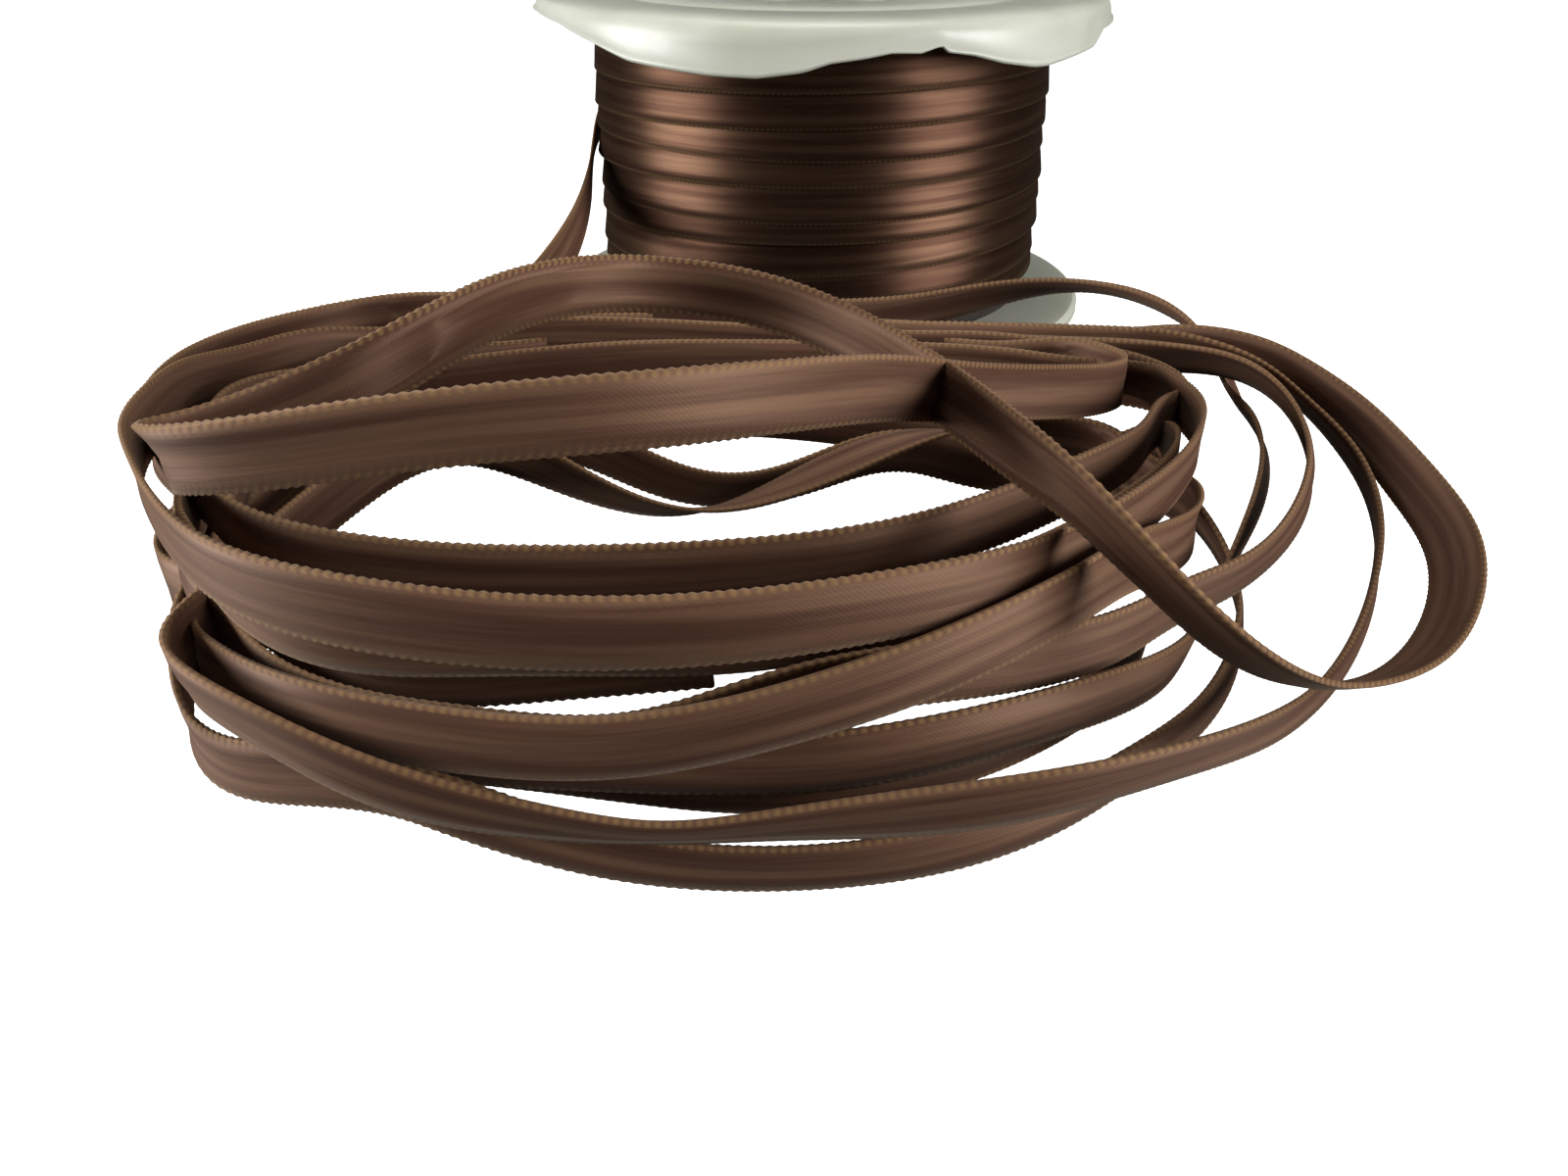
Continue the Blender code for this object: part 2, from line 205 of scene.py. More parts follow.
# %% Route: the loops on the right
LARGE_RIGHT_LOOP = [
    (1290, 748, -81, 18), (1345, 714, -77, 11), (1385, 658, -72, 0), (1407, 590, -67, -2),
    (1407, 520, -61, -11), (1381, 455, -56, -30), (1316, 402, -51.5, -48), (1240, 364, -48.5, -48),
    (1150, 358, -47, -12), (1040, 352, -46, 0), (900, 348, -45, 0), (750, 342, -45, 0),
    (600, 340, -47, 0), (470, 350, -50, 0), (350, 390, -56, 0),
]
TURN_TO_MIDDLE_LOOP = [
    (260, 430, -62, 0), (215, 480, -67, 0), (205, 540, -72, 0), (215, 610, -77, 0),
    (240, 665, -81, 0), (300, 715, -84, 0), (400, 752, -86, 0), (540, 768, -86.5, 0),
    (650, 767, -86.3, 0), (725, 744, -86, 0), (790, 714, -85.5, 0), (860, 700, -84.8, 0),
    (950, 692, -84, 0), (1050, 672, -82, 0), (1130, 642, -78.5, 0), (1190, 616, -75, 8),
]
MIDDLE_RIGHT_LOOP = [
    (1240, 605, -72, 20), (1290, 570, -69, 9), (1327, 520, -65, -3), (1338, 470, -60, -6),
    (1322, 425, -56, -28), (1280, 386, -52, -50), (1200, 364, -49, -46), (1100, 366, -47.5, -10),
    (950, 360, -46.5, 0), (800, 356, -46.5, 0), (650, 356, -48, 0), (500, 366, -51, 0),
    (380, 395, -56, 0),
]
TURN_TO_SMALL_LOOP = [
    (290, 430, -61, 0), (230, 480, -66, 0), (222, 550, -71, 0), (228, 625, -76, 0),
    (211, 690, -80, 12), (195, 733, -81.5, 8), (207, 768, -82.5, 0), (250, 785, -84, 0),
    (340, 784, -85.5, 0), (430, 795, -86.5, 0), (520, 835, -86, 5), (640, 876, -85.5, 8),
    (780, 888, -85.5, 8), (920, 877, -85, 8), (1030, 848, -83.5, 3), (1110, 811, -81.5, -2),
    (1170, 772, -79, 4),
]
SMALL_RIGHT_LOOP = [
    (1215, 742, -76, 7), (1250, 700, -73, -4), (1268, 645, -69.5, -1), (1266, 590, -66, -17),
    (1240, 545, -62, -21), (1205, 505, -58, -27), (1150, 470, -54.5, -10), (1060, 455, -52, 0),
    (940, 440, -51, 0), (800, 425, -51, 0), (650, 420, -52, 0), (500, 425, -54, 0),
    (370, 440, -58, 0),
]
TURN_TO_WIRY_LOOP = [
    (290, 480, -63, 0), (235, 530, -68, 0), (215, 590, -73, 0), (225, 650, -78, 0),
    (270, 710, -82, 0), (350, 748, -84.5, 0), (480, 768, -85.5, 0), (620, 775, -85.5, 0),
    (760, 775, -85.5, 0), (900, 756, -85, 0), (1010, 739, -83.5, 0), (1100, 717, -81, 4),
    (1172, 690, -77, 9), (1222, 652, -73, 7),
]
WIRY_RIGHT_LOOP = [
    (1255, 595, -69, 9), (1277, 540, -65, 3), (1294, 480, -60, -11), (1290, 418, -54, -27),
    (1258, 358, -47, -45), (1188, 309, -40, -53), (1100, 289, -35, -74), (1020, 298, -33, -38),
    (940, 318, -33.5, -10), (850, 325, -34, 0), (720, 320, -36, 0), (600, 310, -38, 0),
    (480, 320, -42, 0), (370, 370, -50, 0),
]
print("stations:", len(LARGE_RIGHT_LOOP + MIDDLE_RIGHT_LOOP + SMALL_RIGHT_LOOP + WIRY_RIGHT_LOOP))

# %% [markdown]
# The last two turns fill the coil's front and end in the cut end, which lies on the front turns.

# %% Route: the last turns and the cut end
LOW_TURN = [
    (290, 440, -60, 0), (240, 510, -65, 0), (225, 590, -71, 0), (240, 670, -77, 0),
    (300, 737, -81, 0), (400, 762, -83, 0), (520, 774, -84, 0), (640, 790, -84.5, 0),
    (760, 806, -84.5, 0), (870, 800, -84, 0), (980, 776, -82.5, 0), (1070, 738, -79.5, 0),
    (1140, 690, -74, 0), (1175, 620, -67, 0), (1170, 550, -60, 0), (1120, 490, -55, 0),
    (1030, 455, -52, 0), (900, 430, -50, 0), (750, 415, -49.5, 0), (600, 415, -51, 0),
    (450, 430, -54, 0),
]
CUT_END_TURN = [
    (330, 450, -59, 0), (250, 490, -64, 0), (205, 550, -70, 0), (210, 610, -76.5, 0),
    (260, 655, -81, 0), (350, 686, -84, 0), (450, 696, -85, 0), (550, 684, -85, 0),
    (650, 678, -85, 0), (755, 670, -85, 0),
]
ROUTE = (
    LEAD + ALONG_BACK + WIDEST_LOOP + HIGH_TURN + UPPER_TURN + FRONT_TURN + SECOND_FRONT_TURN
    + INNER_WAVE + MIDDLE_TURN + OUTER_WAVE + LOWEST_TURN + LARGE_RIGHT_LOOP + TURN_TO_MIDDLE_LOOP
    + MIDDLE_RIGHT_LOOP + TURN_TO_SMALL_LOOP + SMALL_RIGHT_LOOP + TURN_TO_WIRY_LOOP
    + WIRY_RIGHT_LOOP + LOW_TURN + CUT_END_TURN
)
print("stations in all:", len(ROUTE))

# %% [markdown]
# A limp ribbon takes one smooth curve through its stations. The curve is worked out here with NumPy,
# because the next steps have to bend it before it becomes a mesh. It is cut into equal short steps
# and eased a little, so that no station shows as a kink.

# %% A smooth curve through the stations
STEP = 1.15
SPAN_STEPS = 8
LINE_EASING = 2.0
LEAN_EASING = 3.5


def eased(rows, reach):
    """Each row averaged with its neighbours, with the ends held by repeating them."""
    width = int(3 * reach) + 1
    weights = np.exp(-0.5 * (np.arange(-width, width + 1) / reach) ** 2)
    weights /= weights.sum()
    padded = np.concatenate([np.repeat(rows[:1], width, 0), rows, np.repeat(rows[-1:], width, 0)])
    return np.stack([np.convolve(column, weights, "valid") for column in padded.T], 1)


def curve_through(rows):
    """A Catmull-Rom curve through the rows, with the same number of steps in each span."""
    rows = np.concatenate([2 * rows[:1] - rows[1:2], rows, 2 * rows[-1:] - rows[-2:-1]])
    t = (np.arange(SPAN_STEPS) / SPAN_STEPS)[:, None]
    spans = []
    for before, here, after, beyond in zip(rows, rows[1:], rows[2:], rows[3:]):
        spans.append(
            0.5 * (2 * here + (after - before) * t
                   + (2 * before - 5 * here + 4 * after - beyond) * t ** 2
                   + (3 * here - before - 3 * after + beyond) * t ** 3))
    return np.concatenate(spans + [rows[-2:-1]])


def walked(rows):
    """How far along the curve each row lies, by its first three columns."""
    strides = np.linalg.norm(np.diff(rows[:, :3], axis=0), axis=1)
    return np.concatenate([[0.0], np.cumsum(strides)])


def equal_steps(rows, step):
    """The same curve cut again into equal steps."""
    far = walked(rows)
    goals = np.linspace(0.0, far[-1], int(round(far[-1] / step)) + 1)
    return np.stack([np.interp(goals, far, column) for column in rows.T], 1)


traced = np.array([list(station_place(*row[:3])) + [row[3]] for row in ROUTE])
traced = equal_steps(curve_through(traced), STEP)
line = eased(traced[:, :3], LINE_EASING)
lean = eased(traced[:, 3:], LEAN_EASING)[:, 0]
print("curve:", len(line), "points,", round(walked(line)[-1]), "mm")

# %% [markdown]
# Strands that were placed one by one pass through each other here and there. A cloth simulation of so
# long a ribbon would be slow and would not keep the picture, so the strands are only pushed apart.
# Wherever two come nearer than about a millimetre, each gives way by half, at first mostly towards
# or away from the camera, where the picture does not change. The floor pushes up as well. It is
# done in stages. Each asks for a little less room, and the last ones hardly level the moves.

# %% Keeping the strands apart
WIDTH = 3.0
ACROSS = np.linspace(-1.35, 1.35, 7)
FLOOR_ROOM = 0.15
LYING_HALF = 0.5
PAIR_ROUNDS = 15
PAIR_MARGIN = 0.8
OWN_LENGTH = int(10 / STEP)
PUSH_EASING = 1.6
PUSH_GAIN = 1.6
LONGEST_PUSH = 0.4
FLOOR_GAIN = 0.8
MOVED_EASING = 1.5
DEPTH_KEPT = 0.998
TINY = 1e-9
SETTLING_STAGES = [
    {"need": 1.00, "rounds": 200, "towards_eye": 0.9, "kept": 0.95, "ease": 0.2},
    {"need": 0.98, "rounds": 160, "towards_eye": 0.5, "kept": 0.97, "ease": 0.2},
    {"need": 0.96, "rounds": 220, "towards_eye": 0.4, "kept": 0.99, "ease": 0.06},
    {"need": 0.94, "rounds": 220, "towards_eye": 0.2, "kept": 1.0, "ease": 0.03},
    {"need": 0.92, "rounds": 160, "towards_eye": 0.0, "kept": 1.0, "ease": 0.02},
]


def width_direction(points, degrees):
    """The direction of the ribbon's width at each point, leaning so many degrees from upright."""
    travel = np.gradient(points, axis=0)
    travel /= np.linalg.norm(travel, axis=1)[:, None]
    upright = np.array([0.0, 0.0, 1.0]) - travel * travel[:, 2:3]
    upright /= np.linalg.norm(upright, axis=1)[:, None]
    side = np.cross(travel, upright)
    angle = np.radians(degrees)[:, None]
    return np.cos(angle) * upright + np.sin(angle) * side


def near_pairs(points, samples, room):
    """Pairs of samples of two strands that lie within room of each other."""
    squares = (points ** 2).sum(1)
    apart = squares[:, None] + squares[None] - 2 * points @ points.T
    reach = room + 2 * ACROSS[-1]
    first, second = np.nonzero(np.triu(apart < reach * reach, OWN_LENGTH + 1))
    count = len(points)
    pairs = []
    for row in range(len(ACROSS)):
        for other in range(len(ACROSS)):
            one, two = first + row * count, second + other * count
            gap = np.linalg.norm(samples[one] - samples[two], axis=1)
            close = gap < room
            pairs.append(np.stack([one[close], two[close]], 1))
    return np.concatenate(pairs)


def gathered(places, amounts, count):
    """Sums amounts of three numbers by place."""
    return np.stack([np.bincount(places, column, count) for column in amounts.T], 1)


def pushed_apart(points, base, need, rounds, towards_eye, kept, ease):
    """Moves the strands apart until they are about need mm from each other.

    A larger towards_eye turns each push more into the line of sight. Kept is the share of a sideways
    move that stays after a round, and ease is how strongly neighbouring moves are levelled.
    """
    count = len(points)
    home = base - EYE
    home /= np.linalg.norm(home, axis=1)[:, None]
    pairs = None
    for turn in range(rounds):
        width = width_direction(points, lean)
        samples = np.concatenate([points + offset * width for offset in ACROSS])
        if turn % PAIR_ROUNDS == 0:
            pairs = near_pairs(points, samples, need + PAIR_MARGIN)
        between = samples[pairs[:, 0]] - samples[pairs[:, 1]]
        gap = np.linalg.norm(between, axis=1) + TINY
        close = gap < need
        one, two = pairs[close, 0] % count, pairs[close, 1] % count
        between, gap = between[close], gap[close]
        sight = points - EYE
        sight /= np.linalg.norm(sight, axis=1)[:, None]
        ray = sight[one]
        sign = np.sign((between * ray).sum(1) + TINY)[:, None]
        way = between / gap[:, None] + towards_eye * sign * ray
        way /= np.linalg.norm(way, axis=1)[:, None] + TINY
        amount = ((need - gap) * 0.5)[:, None] * way
        push = gathered(one, amount, count) - gathered(two, amount, count)
        share = np.bincount(one, minlength=count) + np.bincount(two, minlength=count)
        push = eased(push / np.maximum(share, 1)[:, None], PUSH_EASING) * PUSH_GAIN
        push *= np.minimum(1, LONGEST_PUSH / (np.linalg.norm(push, axis=1) + TINY))[:, None]
        points = points + push
        rise = np.abs(width[:, 2])
        lowest = points[:, 2] - WIDTH / 2 * rise - LYING_HALF * (1 - rise)
        points[:, 2] += np.maximum(FLOOR_ROOM - lowest, 0) * FLOOR_GAIN
        moved = points - base
        moved = (1 - ease) * moved + ease * eased(moved, MOVED_EASING)
        deep = (moved * home).sum(1)[:, None] * home
        points = base + deep * DEPTH_KEPT + (moved - deep) * kept
    print("need", need, "mm, nearest", round(float(gap.min()), 2), "mm in", len(gap), "close pairs")
    return points


base = line.copy()
for stage in SETTLING_STAGES:
    line = pushed_apart(line, base, **stage)
print("loose ribbon:", round(walked(line)[-1]), "mm long, from", np.round(line.min(0), 1), "to",
      np.round(line.max(0), 1))

# %% [markdown]
# The ribbon itself is a strip three millimetres wide. A bmesh grid gives the strip, already in rows
# and columns, and its vertices are then carried to the route. Two things make it a woven ribbon and
# not a plain band. Its edges are a row of tiny thread loops, so every second row stands out a little
# at both ends. And it has been pressed on the spool, so a soft crease runs down its middle and the
# quarters beside it fold a little to one side and the other. The strip is a sheet, and a Solidify
# modifier gives it the thickness of the cloth.

# %% Laying a strip along a route
LOOP_PITCH = 0.45
LOOP_DEPTH = 0.04
CLOTH_THICKNESS = 0.26
COLUMNS_ACROSS = 4
OUTERMOST = 0.99
WAVE_SHIFT = 1.7
FOLD_LENGTH = 41.0
FOLD_DRIFT = 19.0
FOLD_DRIFT_TURN = 2.0


def wavering(far, lengths, heights, phase):
    """A slow uneven wave along the ribbon, made of a few sine waves of given lengths."""
    total = np.zeros_like(far)
    for index, (length, height) in enumerate(zip(lengths, heights)):
        total += height * np.sin(math.tau * far / length + phase + WAVE_SHIFT * index)
    return total


def lay_strip(name, centres, widths, crease, quarter_fold, material):
    """A strip of cloth along the centres, its width in the direction of widths.

    Crease is how far its middle stands out, and quarter_fold how far the quarters do, both in mm.
    """
    count = len(centres)
    sheet = bmesh.new()
    bmesh.ops.create_grid(sheet, x_segments=count - 1, y_segments=COLUMNS_ACROSS, size=0.5)
    ordered = sorted(sheet.verts, key=lambda vertex: (round(vertex.co.x, 7), vertex.co.y))
    far = walked(centres)
    travel = np.gradient(centres, axis=0)
    facing = np.cross(travel, widths)
    facing /= np.linalg.norm(facing, axis=1)[:, None]
    shares = np.linspace(-1.0, 1.0, COLUMNS_ACROSS + 1)
    place = {}
    for column, share in enumerate(shares):
        half = WIDTH / 2 - LOOP_DEPTH
        out = half * share + np.sign(share) * (abs(share) > OUTERMOST) * LOOP_DEPTH * np.cos(
            math.tau * far / LOOP_PITCH)
        fold = crease * (1.0 - abs(share)) + quarter_fold * math.sin(math.pi * share) * np.sin(
            math.tau * far / FOLD_LENGTH + FOLD_DRIFT_TURN * np.sin(far / FOLD_DRIFT))
        rows = (centres + out[:, None] * widths + fold[:, None] * facing) * MM
        for index in range(count):
            vertex = ordered[index * (COLUMNS_ACROSS + 1) + column]
            vertex.co = rows[index]
            place[vertex] = (far[index] / WIDTH, (share + 1) / 2)
    uv = sheet.loops.layers.uv.new("along_and_across")
    for face in sheet.faces:
        face.smooth = True
        for loop in face.loops:
            loop[uv].uv = place[loop.vert]
    mesh = bpy.data.meshes.new(name)
    sheet.to_mesh(mesh)
    sheet.free()
    strip = bpy.data.objects.new(name, mesh)
    bpy.context.scene.collection.objects.link(strip)
    mesh.materials.append(material)
    cloth = strip.modifiers.new("cloth_thickness", "SOLIDIFY")
    cloth.thickness = CLOTH_THICKNESS * MM
    cloth.offset = 0.0
    cloth.use_even_offset = False
    return strip


print("loops along each edge:", round(walked(line)[-1] / LOOP_PITCH))

# %% [markdown]
# Materials are built with a small helper, so that the maths of a pattern can be read as plain
# sums. It wraps one socket; adding or multiplying two of them adds the Math node that does it.

# %% Writing a material as sums
class Socket:
    """One output of a node, on which sums can be written."""

    def __init__(self, tree, socket):
        self.tree = tree
        self.socket = socket

    def node(self, kind, settings=None, inputs=None, out=0):
        """Adds a node of that kind, with its settings first and then its inputs."""
        new = self.tree.nodes.new(kind)
        for key, value in (settings or {}).items():
            setattr(new, key, value)
        for key, value in (inputs or {}).items():
            if isinstance(value, Socket):
                self.tree.links.new(value.socket, new.inputs[key])
            else:
                new.inputs[key].default_value = value
        return Socket(self.tree, new.outputs[out])

    def math(self, operation, first, second=0.0):
        """Adds a Math node for one or two values."""
        return self.node("ShaderNodeMath", {"operation": operation}, {0: first, 1: second})

    def __add__(self, other):
        return self.math("ADD", self, other)

    def __sub__(self, other):
        return self.math("SUBTRACT", self, other)

    def __mul__(self, other):
        return self.math("MULTIPLY", self, other)

    def mixed(self, first, second):
        """Goes from the first colour to the second as this value goes from 0 to 1."""
        return self.node("ShaderNodeMix", {"data_type": "RGBA"}, {0: self, 6: first, 7: second}, 2)

    def stepped(self, low, high):
        """Goes smoothly from 0 at low to 1 at high."""
        return self.node(
            "ShaderNodeMapRange", {"interpolation_type": "SMOOTHSTEP"},
            {"Value": self, "From Min": low, "From Max": high})


def new_material(name):
    """A material, its shader node, and a socket to start writing from."""
    material = bpy.data.materials.new(name)
    material.use_nodes = True
    shader = material.node_tree.nodes["Principled BSDF"]
    start = Socket(material.node_tree, shader.outputs[0])
    return material, shader, start


def feed(shader, values):
    """Sets or links the shader's own sockets."""
    tree = shader.id_data
    for key, value in values.items():
        if isinstance(value, Socket):
            tree.links.new(value.socket, shader.inputs[key])
        else:
            shader.inputs[key].default_value = value


print("helper ready")

# %% [markdown]
# Satin is woven so that long threads lie side by side on its face, which is why it shines. Here that
# is fine lines along the strip, a slight slant of the weave across them, long stripes of darker and
# redder tone that are painted light and shade of its creases, and a golden line of thread loops along
# both edges. All of it follows the strip's own UV map: U counts ribbon widths along it, and V goes
# from one edge to the other. Two finishes come from the one function. The loose ribbon is limp and
# shines softly. On the spool it is pulled tight and flat and shines almost like metal, and its colours
# are darkened as painted shade, so it looks darker.

# %% Brown satin
SATIN_DEEP = (0.068, 0.029, 0.019)
SATIN_WARM = (0.180, 0.099, 0.060)
SATIN_LOOPS = (0.280, 0.165, 0.070)
SATIN_GLINT = (1.0, 0.78, 0.60, 1.0)
SATIN_FUZZ = (1.0, 0.82, 0.66, 1.0)
SLANT_PITCH = 0.23
BUMP_HEIGHT = 0.00006


def brown_satin(name, shade_factor, metallic, roughness):
    """Satin whose colours are multiplied by the given factor, which paints shade over the whole strip."""
    deep, warm, gold = [tuple(part * shade_factor for part in colour) + (1.0,)
                        for colour in (SATIN_DEEP, SATIN_WARM, SATIN_LOOPS)]
    material, shader, start = new_material(name)
    place = start.node("ShaderNodeUVMap", {"uv_map": "along_and_across"})
    split = place.node("ShaderNodeSeparateXYZ", None, {"Vector": place})
    along = split
    across = Socket(split.tree, split.socket.node.outputs[1])
    # The long noise stripes along the strip paint the light and shade of its creases into the colour; the
    # fine threads add real weave tone.
    stretch = start.node("ShaderNodeCombineXYZ", None, {"X": along * 0.10, "Y": across * 3.4})
    crease_shade_stripes = start.node("ShaderNodeTexNoise", None, {"Vector": stretch, "Scale": 1.0, "Detail": 3.0})
    thread = start.node("ShaderNodeCombineXYZ", None, {"X": along * 1.1, "Y": across * 26.0})
    threads = start.node("ShaderNodeTexNoise", None, {"Vector": thread, "Scale": 1.0, "Detail": 2.0})
    slant = start.math("SINE", (along * 3.0 + across * 3.4) * (math.tau / SLANT_PITCH))
    edge = start.math("ABSOLUTE", across - 0.5) * 2.0
    selvedge = edge.stepped(0.84, 0.93)
    loops = start.math("SINE", along * (math.tau * WIDTH / LOOP_PITCH)) * 0.5 + 0.5
    tone = crease_shade_stripes.stepped(0.35, 0.68) * 0.75 + threads * 0.25
    cloth = tone.mixed(deep, warm)
    colour = (selvedge * (loops * 0.55 + 0.05)).mixed(cloth, gold)
    height = threads * 0.6 + slant * 0.05 + selvedge * loops * 0.4
    bump = start.node("ShaderNodeBump", None,
                      {"Strength": 0.35, "Distance": BUMP_HEIGHT, "Height": height})
    feed(shader, {
        "Base Color": colour,
        "Roughness": threads * 0.14 + selvedge * 0.12 + roughness,
        "Normal": bump,
        "Metallic": metallic,
        "Specular IOR Level": 0.3,
        "Specular Tint": SATIN_GLINT,
        "Anisotropic": 0.7,
        "Anisotropic Rotation": 0.25,
        "Sheen Weight": 0.06,
        "Sheen Roughness": 0.4,
        "Sheen Tint": SATIN_FUZZ,
    })
    return material


satin = brown_satin("brown_satin", shade_factor=0.95, metallic=0.2, roughness=0.5)
# The spool's copy has its colours darkened to about half as painted shade; it is the same brown ribbon.
shaded_wound_satin = brown_satin("shaded_wound_satin", shade_factor=0.52, metallic=0.85, roughness=0.38)
print("satin nodes:", len(satin.node_tree.nodes))

# %% [markdown]
# Now the loose ribbon can be laid. The settled route is cut again into steps of half a thread loop,
# so that the edge's loops are part of the mesh.

# %% The loose ribbon
FINE_STEP = LOOP_PITCH / 2
FINE_EASING = 3.0
LOOSE_FOLD = 0.05

settled = equal_steps(curve_through(np.column_stack([line, lean])), FINE_STEP)
settled = eased(settled, FINE_EASING)
loose_far = walked(settled)
loose_lean = settled[:, 3] + wavering(loose_far, (31.0, 53.0, 17.0), (2.0, 2.5, 1.2), 0.4)
loose_crease = wavering(loose_far, (43.0, 71.0, 127.0), (0.07, 0.10, 0.10), 1.1)
loose_width = width_direction(settled[:, :3], loose_lean)
loose_ribbon = lay_strip("loose_ribbon", settled[:, :3], loose_width, loose_crease, LOOSE_FOLD, satin)

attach(loose_ribbon, "root")
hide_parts("ribbon_lead", "ribbon_coil", "ribbon_arch", "ribbon_loop_wide",
            "ribbon_loop_middle", "ribbon_loop_back", "ribbon_loop_low", "ribbon_inner_wave")

# %% [markdown]
# On the spool the same ribbon is wound in rows. Each turn lies with its upper edge under the turn
# above, so the rows overlap like shingles, and every lower edge throws a thin dark line. One strip in
# a long screw line gives the shingles, and a core painted near black as shade shows between them as
# that dark line and closes the view between turns. The core is a closed outline turned with the spin
# operator, and the cap below is made the same way.

# %% The wound ribbon
ROLL_RADIUS = 20.9
ROLL_LOW = 1.75
ROLL_HIGH = 26.7
ROLL_ROWS = 9.3
ROLL_SHINGLE = 0.42
ROLL_START = 0.5
ROLL_FOLD = 0.012
CORE_PROFILE = [(11.4, 1.9), (20.1, 1.9), (20.4, 2.4), (20.4, 26.1), (20.1, 26.5), (11.4, 26.5)]
CORE_STEPS = 120


def spun(shape, outline, steps):
    """Spins a closed outline of points in mm round Z."""
    rim = [shape.verts.new([value * MM for value in point]) for point in outline]
    edges = [shape.edges.new(pair) for pair in zip(rim, rim[1:] + rim[:1])]
    bmesh.ops.spin(shape, geom=rim + edges, cent=(0, 0, 0), axis=(0, 0, 1), angle=math.tau,
                   steps=steps, use_merge=True)


def finished_ring(shape, name):
    """Turns the faces outward, smooths them and makes the object."""
    bmesh.ops.recalc_face_normals(shape, faces=shape.faces)
    for face in shape.faces:
        face.smooth = True
    mesh = bpy.data.meshes.new(name)
    shape.to_mesh(mesh)
    shape.free()
    ring = bpy.data.objects.new(name, mesh)
    bpy.context.scene.collection.objects.link(ring)
    return ring


def wound_ribbon():
    """The rows on the spool, as one strip in a screw line that wanders a little."""
    turns = np.arange(0.0, ROLL_ROWS, FINE_STEP / (math.tau * ROLL_RADIUS))
    far = turns * math.tau * ROLL_RADIUS
    angle = turns * math.tau + ROLL_START
    rise = (ROLL_HIGH - ROLL_LOW - WIDTH) / ROLL_ROWS
    height = ROLL_LOW + WIDTH / 2 + turns * rise
    height += wavering(far, (90.0, 61.0, 147.0, 330.0), (0.08, 0.06, 0.16, 0.28), 0.3)
    radius = ROLL_RADIUS + wavering(far, (47.0, 83.0), (0.05, 0.06), 2.0)
    centres = np.column_stack([radius * np.cos(angle), radius * np.sin(angle), height])
    outward = np.column_stack([np.cos(angle), np.sin(angle), np.zeros_like(angle)])
    tip = ROLL_SHINGLE / WIDTH + wavering(far, (71.0, 33.0), (0.03, 0.02), 0.9)
    widths = np.array([0.0, 0.0, 1.0]) - tip[:, None] * outward
    widths /= np.linalg.norm(widths, axis=1)[:, None]
    crease = wavering(far, (29.0, 43.0, 77.0), (0.02, 0.02, 0.03), 0.2)
    return lay_strip("wound_ribbon", centres, widths, crease, ROLL_FOLD, shaded_wound_satin)


def roll_core():
    """The turns beneath: a plain closed ring."""
    shape = bmesh.new()
    spun(shape, [(radius, 0.0, height) for radius, height in CORE_PROFILE], CORE_STEPS)
    return finished_ring(shape, "wound_core")


wound = wound_ribbon()
core = roll_core()
print("wound ribbon faces:", len(wound.data.polygons), "core faces:", len(core.data.polygons))

# %% [markdown]
# The core only shows between rows, where the turns beneath lie in shade, so it is painted near black as
# that shade, with no shine.

# %% Core finish: painted shade
CORE_SHADE_DEEP = (0.008, 0.004, 0.003, 1.0)
CORE_SHADE_PALE = (0.022, 0.011, 0.008, 1.0)


def core_painted_shade():
    """Near-black painted shade with a little grain."""
    material, shader, start = new_material("core_painted_shade")
    place = start.node("ShaderNodeTexCoord", None, None, 3)
    grain = start.node("ShaderNodeTexNoise", None, {"Vector": place, "Scale": 900.0, "Detail": 2.0})
    feed(shader, {
        "Base Color": grain.mixed(CORE_SHADE_DEEP, CORE_SHADE_PALE),
        "Roughness": 0.8,
    })
    return material


core.data.materials.append(core_painted_shade())
for piece in (wound, core):
    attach(piece, "root")
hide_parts("ribbon_roll")
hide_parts("ribbon_roll")
print("the roll is one wound strip round its core")

# %% [markdown]
# The upper flange is a shallow cap of thin plastic, and its skirt was trimmed by hand: its lower
# edge dips and rises by some millimetres. The solid model only has a plain skirt, so the cap is made
# anew. It is spun from a profile, and then every vertex of the skirt is raised until the edge
# follows the points at which it shows in the picture. The edge behind is not seen and is guessed.

# %% The spool's cap
CAP_RADIUS = 26.0
CAP_TOP = 28.4
CAP_LOWEST = 24.35
CAP_SKIRT_FROM = 24.4
CAP_PROFILE = [
    (8.5, 27.1), (8.5, 27.9), (12.0, 27.9), (12.5, 28.4), (18.6, 28.4), (18.8, 28.25), (19.3, 28.25),
    (19.5, 28.4), (24.3, 28.4), (25.1, 28.15), (25.6, 27.6), (25.8, 26.6), (25.95, 24.95), (26.15, 24.75),
    (26.15, 24.5), (25.95, 24.35), (25.6, 24.4), (25.5, 25.0), (25.2, 26.8), (24.6, 27.15),
]
CAP_EDGE_SEEN = [
    (549, 12), (572, 25), (607, 45), (642, 63), (679, 71), (723, 78), (772, 81), (820, 75), (846, 66),
    (881, 61), (910, 55), (940, 55), (961, 47), (967, 54), (993, 57), (1024, 65), (1055, 69), (1068, 68),
    (1114, 49), (1124, 30),
]
CAP_EDGE_BEHIND = [(100, 26.6), (140, 25.9), (180, 26.3), (220, 25.8), (260, 26.9)]
CAP_STEPS = 288
CAP_WOBBLE = 0.0022
CAP_WOBBLE_WAVES = 7


def edge_place(across, down):
    """Angle from the front, in degrees, and height at which a sight line meets the cap's rim."""
    sight = station_place(across, down, 0.0) - EYE
    flat, start = sight[:2], EYE[:2]
    a, b, c = flat @ flat, 2 * start @ flat, start @ start - CAP_RADIUS ** 2
    reach = (-b - math.sqrt(max(0.0, b * b - 4 * a * c))) / (2 * a)
    spot = EYE + reach * sight
    return math.degrees(math.atan2(spot[0], -spot[1])), float(spot[2])


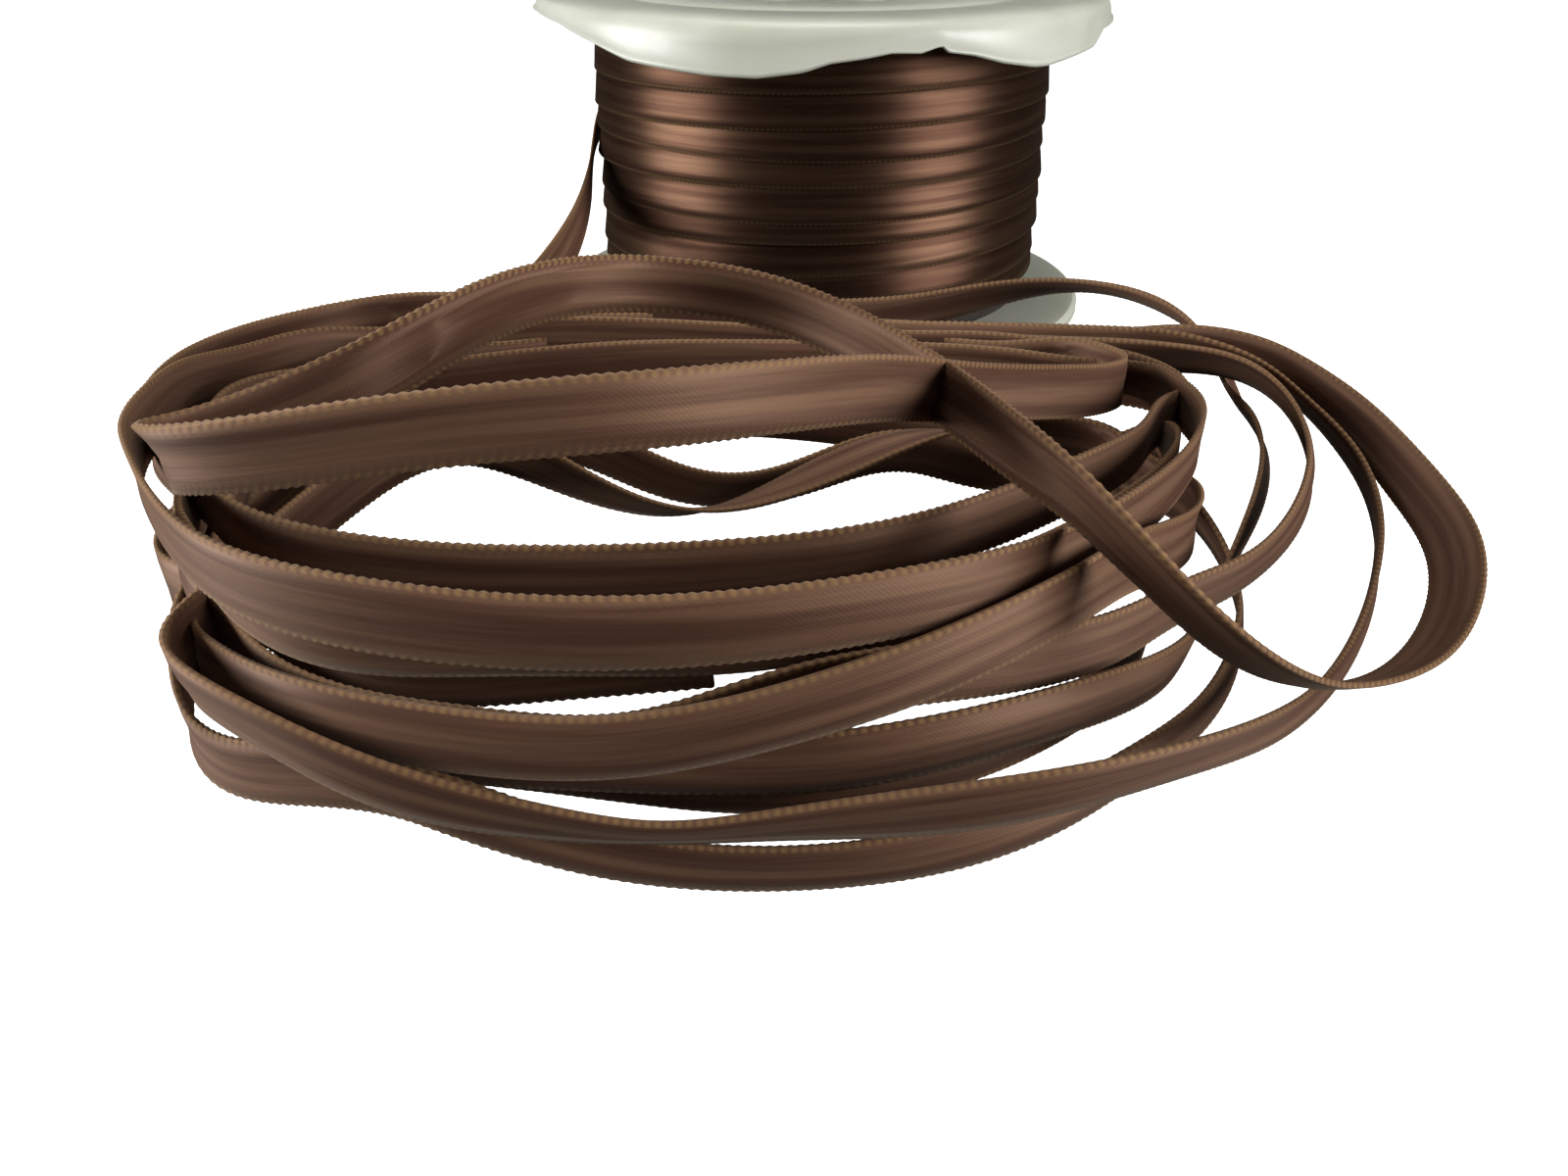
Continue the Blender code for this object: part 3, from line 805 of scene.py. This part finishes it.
def spool_cap():
    """The cap, spun round Z, with its skirt's lower edge as trimmed."""
    edge = [edge_place(*seen) for seen in CAP_EDGE_SEEN] + CAP_EDGE_BEHIND
    angles = [angle % 360 for angle, height in edge]
    heights = [height for angle, height in edge]
    shape = bmesh.new()
    spun(shape, [(0.0, -radius, height) for radius, height in CAP_PROFILE], CAP_STEPS)
    for vertex in shape.verts:
        radius = math.hypot(vertex.co.x, vertex.co.y) / MM
        if radius > CAP_SKIRT_FROM:
            angle = math.degrees(math.atan2(vertex.co.x, -vertex.co.y))
            lowest = float(np.interp(angle % 360, angles, heights, period=360))
            depth = (CAP_TOP * MM - vertex.co.z) / (CAP_TOP - CAP_LOWEST)
            vertex.co.z = CAP_TOP * MM - depth * (CAP_TOP - lowest)
            wobble = 1.0 + CAP_WOBBLE * math.sin(math.radians(angle) * CAP_WOBBLE_WAVES) * depth / MM
            vertex.co.x *= wobble
            vertex.co.y *= wobble
    return finished_ring(shape, "trimmed_cap")


cap = spool_cap()
print("cap faces:", len(cap.data.polygons))

# %% [markdown]
# The spool is thin moulded plastic, off-white with a green-grey cast, and it lets a little light
# through. The lower flange and hub of the solid model already have the right form, so they stay and
# only get a better finish: faint cloudy flow marks from the mould, and a fine grain.

# %% Spool plastic
PLASTIC_DARK = (0.41, 0.42, 0.345, 1.0)
PLASTIC_LIGHT = (0.50, 0.51, 0.43, 1.0)
PLASTIC_BUMP = 0.0001


def spool_plastic():
    """Off-white plastic with clouds and grain."""
    material, shader, start = new_material("spool_plastic")
    place = start.node("ShaderNodeTexCoord", None, None, 3)
    cloud = start.node("ShaderNodeTexNoise", None, {"Vector": place, "Scale": 90.0, "Detail": 4.0})
    grain = start.node("ShaderNodeTexNoise", None, {"Vector": place, "Scale": 1400.0, "Detail": 3.0})
    colour = cloud.stepped(0.3, 0.7).mixed(PLASTIC_DARK, PLASTIC_LIGHT)
    bump = start.node("ShaderNodeBump", None,
                      {"Strength": 0.2, "Distance": PLASTIC_BUMP, "Height": cloud * 1.0 + grain * 0.2})
    feed(shader, {
        "Base Color": colour,
        "Roughness": grain * 0.15 + 0.28,
        "Normal": bump,
        "Subsurface Weight": 0.25,
        "Subsurface Radius": (0.004, 0.004, 0.003),
        "Subsurface Scale": 1.0,
    })
    return material


plastic = spool_plastic()
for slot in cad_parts["spool_base"].material_slots:
    slot.material = plastic
cap.data.materials.append(plastic)
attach(cap, "root")
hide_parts("spool_cap")
print("plastic on the base and the cap")

# %% [markdown]
# The set is a plain pale floor in a dim white room. The floor glows by itself, as a light table does,
# so it reads as pure white and the ribbon throws hardly any shadow. It is kept out of the shine and
# the soft light of the model, because so large a glow from below would brighten every strand. One broad
# soft light on each side leaves the middle of the roll dark between two bright bands, as satin shows
# it, and a weaker one above lights the cap.

# %% Floor and light
FLOOR_GREY = (0.9, 0.9, 0.9, 1.0)
PURE_WHITE = (1.0, 1.0, 1.0, 1.0)
FLOOR_GLOW = 0.92
FLOOR_HALF = 3.0
ROOM_GLOW = 0.035
SOFT_LIGHTS = [
    {"name": "left_soft_light", "place": (-0.34, -0.11, 0.08), "target": (-0.01, -0.05, 0.01),
     "size": (0.22, 0.22), "power": 2.3},
    {"name": "right_soft_light", "place": (0.31, -0.20, 0.08), "target": (0.01, -0.05, 0.01),
     "size": (0.22, 0.22), "power": 2.1},
    {"name": "top_soft_light", "place": (0.0, 0.02, 0.42), "target": (0.0, -0.02, 0.0),
     "size": (0.26, 0.26), "power": 1.05},
]


def floor_white():
    """A white that glows by itself."""
    material, shader, start = new_material("floor_white")
    feed(shader, {
        "Base Color": FLOOR_GREY,
        "Roughness": 0.9,
        "Emission Color": PURE_WHITE,
        "Emission Strength": FLOOR_GLOW,
    })
    return material


def soft_light(name, place, target, size, power):
    """A rectangular light that looks at its target."""
    data = bpy.data.lights.new(name, "AREA")
    data.shape = "RECTANGLE"
    data.size, data.size_y = size
    data.energy = power
    light = bpy.data.objects.new(name, data)
    light.location = place
    light.rotation_euler = (Vector(target) - Vector(place)).to_track_quat("-Z", "Y").to_euler()
    bpy.context.scene.collection.objects.link(light)


ground = bmesh.new()
bmesh.ops.create_grid(ground, x_segments=1, y_segments=1, size=FLOOR_HALF)
floor_mesh = bpy.data.meshes.new("studio_floor")
ground.to_mesh(floor_mesh)
ground.free()
studio_floor = bpy.data.objects.new("studio_floor", floor_mesh)
bpy.context.scene.collection.objects.link(studio_floor)
floor_mesh.materials.append(floor_white())
studio_floor.visible_glossy = False
studio_floor.visible_diffuse = False

room = bpy.data.worlds.new("white_room")
room.use_nodes = True
background = room.node_tree.nodes["Background"]
background.inputs["Color"].default_value = PURE_WHITE
background.inputs["Strength"].default_value = ROOM_GLOW
bpy.context.scene.world = room
for row in SOFT_LIGHTS:
    soft_light(**row)
bpy.context.scene.view_settings.view_transform = "Standard"
print("lights:", len(SOFT_LIGHTS))
